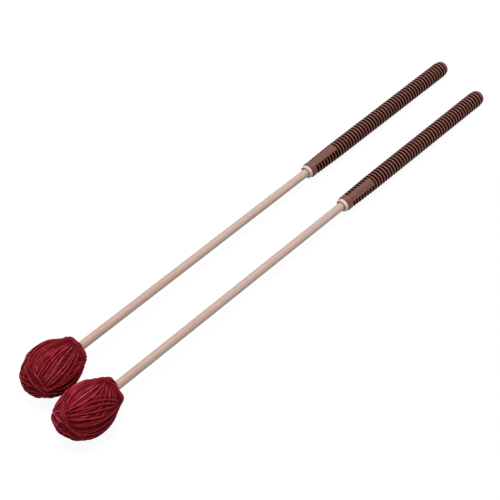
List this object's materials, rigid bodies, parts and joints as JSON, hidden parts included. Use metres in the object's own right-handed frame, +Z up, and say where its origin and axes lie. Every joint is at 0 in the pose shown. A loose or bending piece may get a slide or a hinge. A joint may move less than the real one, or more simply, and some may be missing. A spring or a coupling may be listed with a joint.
{
  "type": "metallophone mallets",
  "caption": "Metallophone mallets with egg-shaped yarn-wound heads, slim wooden shafts and ribbed sleeve grips with a bare panel.",
  "frame": {"origin": "on the floor, at the bottom centre of the pair's outline", "axes": "+X from the heads towards the grips, +Y from the front mallet towards the rear one, +Z up"},
  "size_m": [0.4009, 0.0707, 0.0335],
  "materials": {
    "beech": "fine sanded, clear matt",
    "core_rubber": "matt",
    "yarn": "wound wool",
    "grip_plastic": "soft moulded, matt",
    "collar_plastic": "smooth moulded"
  },
  "bodies": {
    "rear_mallet": {"rear_shaft": "beech", "rear_core": "core_rubber", "rear_winding": "yarn", "rear_grip": "grip_plastic", "rear_collar": "collar_plastic"},
    "front_mallet": {"front_shaft": "beech", "front_core": "core_rubber", "front_winding": "yarn", "front_grip": "grip_plastic", "front_collar": "collar_plastic"}
  },
  "joints": [
    {"name": "front_mallet_lift", "type": "slide", "parent": "rear_mallet", "child": "front_mallet", "axis": [0, 0, 1], "range_m": [0, 0.1]}
  ]
}
